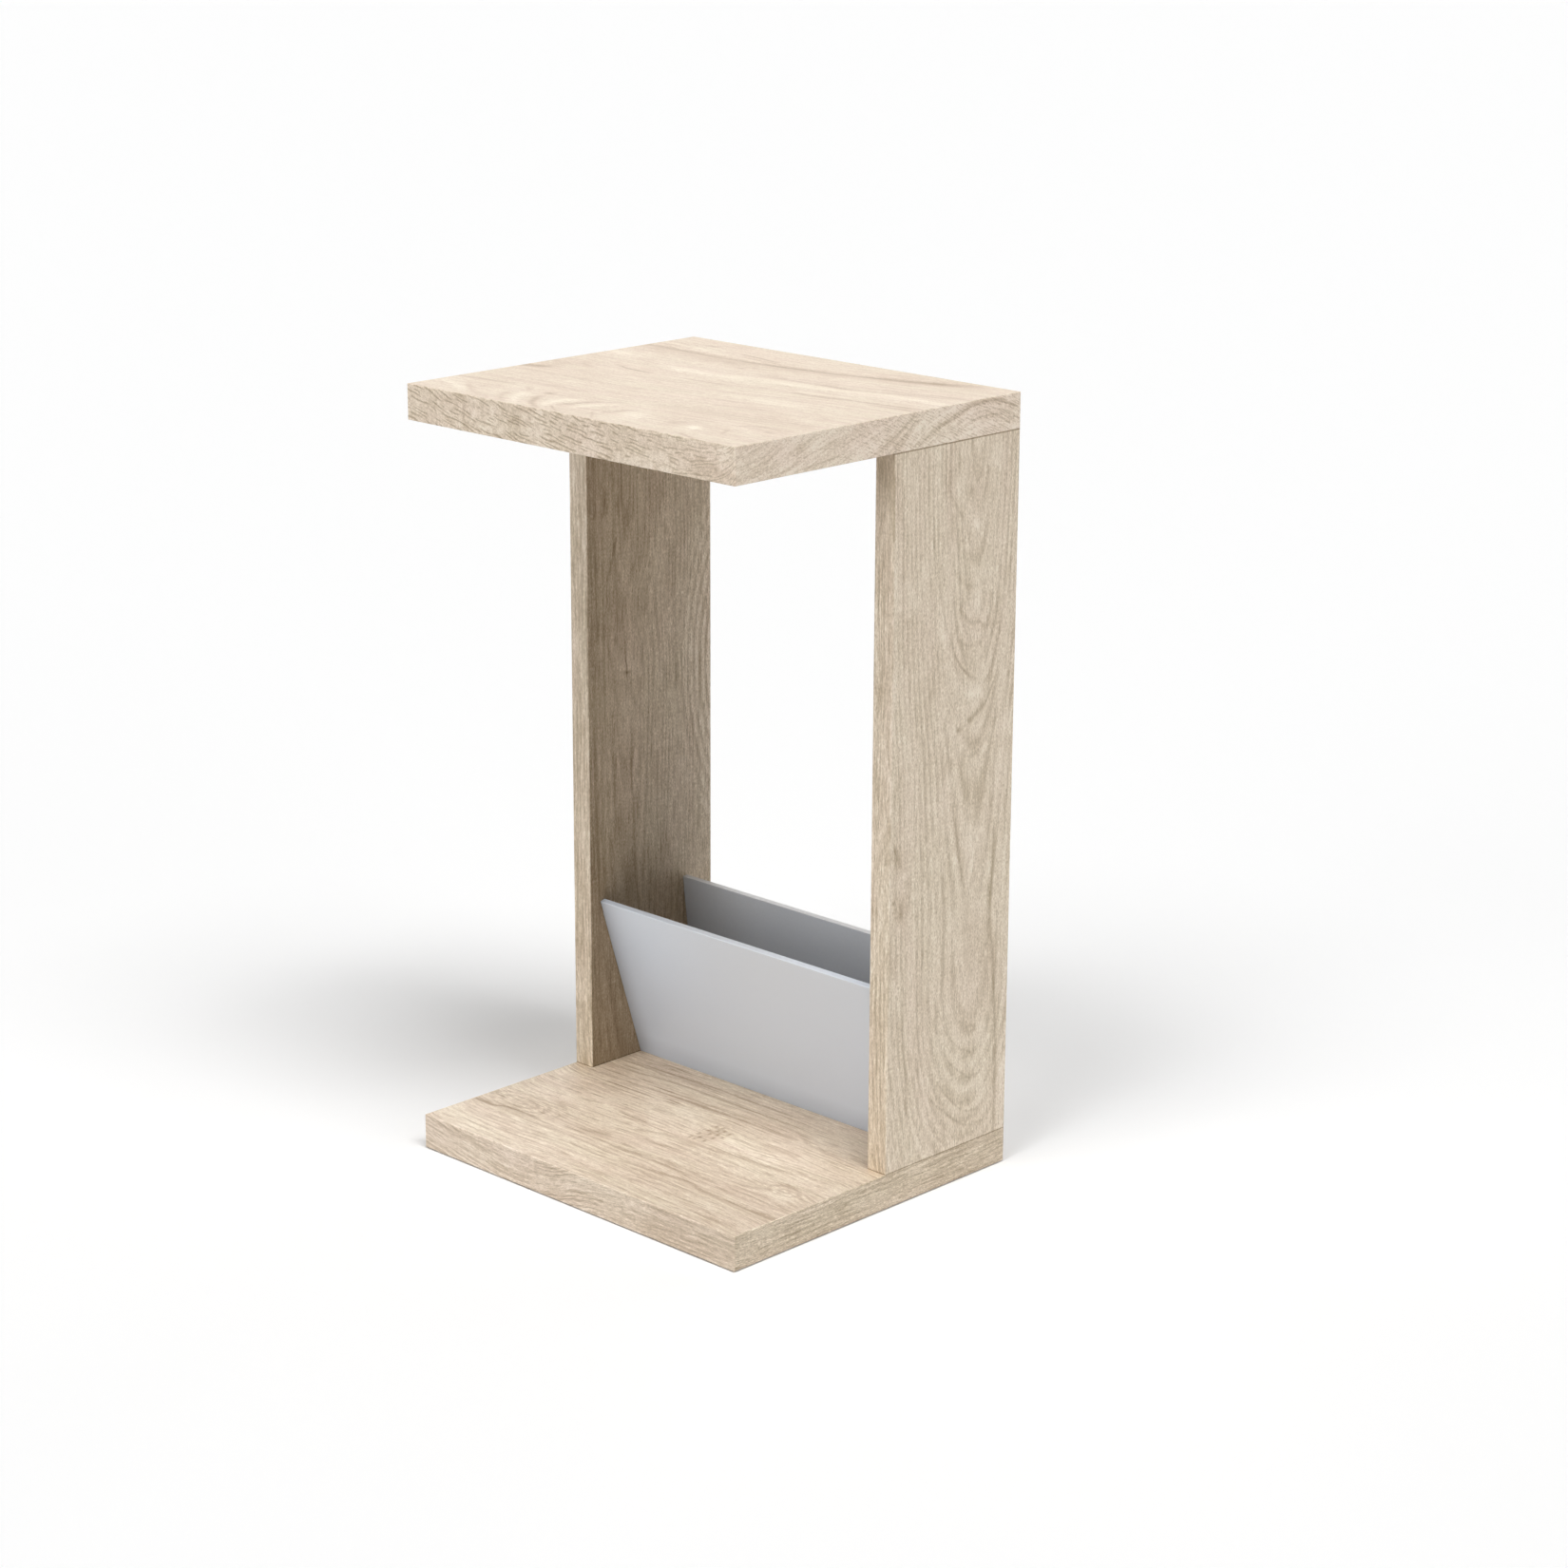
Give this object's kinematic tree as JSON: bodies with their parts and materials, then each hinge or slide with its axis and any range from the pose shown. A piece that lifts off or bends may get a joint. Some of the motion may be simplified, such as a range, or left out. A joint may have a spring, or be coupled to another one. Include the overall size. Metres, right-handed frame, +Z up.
{
  "type": "magazine side table",
  "caption": "Narrow side table: thick top and base boards on two side uprights at the rear, with a leaning two-panel magazine rack between them.",
  "frame": {"origin": "on the floor under the middle of the boards", "axes": "+Z up, the open front faces -Y, the uprights stand at the +Y rear, X across the table's width"},
  "size_m": [0.35, 0.306, 0.623],
  "materials": {
    "oak_laminate": "pale bleached oak decor, matt, fine open grain",
    "oak_edging": "oak decor plastic edge band, matt",
    "silver_sheet": "matt silver-grey lacquer",
    "zinc": "dull cast zinc",
    "steel": "bright zinc-plated steel",
    "beech": "raw beech",
    "cover_caps": "oak-coloured matt plastic",
    "glides": "beige nylon, matt"
  },
  "bodies": {
    "root": {"top_board": "oak_laminate", "top_front_band": "oak_edging", "top_rear_band": "oak_edging", "top_left_band": "oak_edging", "top_right_band": "oak_edging", "base_board": "oak_laminate", "base_front_band": "oak_edging", "base_rear_band": "oak_edging", "base_left_band": "oak_edging", "base_right_band": "oak_edging", "left_upright": "oak_laminate", "left_upright_front_band": "oak_edging", "left_upright_rear_band": "oak_edging", "right_upright": "oak_laminate", "right_upright_front_band": "oak_edging", "right_upright_rear_band": "oak_edging", "rack_front_panel": "silver_sheet", "rack_rear_panel": "silver_sheet", "cam_housings": "zinc", "cam_bolts": "steel", "cam_caps": "cover_caps", "top_dowels": "beech", "base_dowels": "beech", "base_screws": "steel", "floor_glides": "glides"}
  },
  "joints": []
}
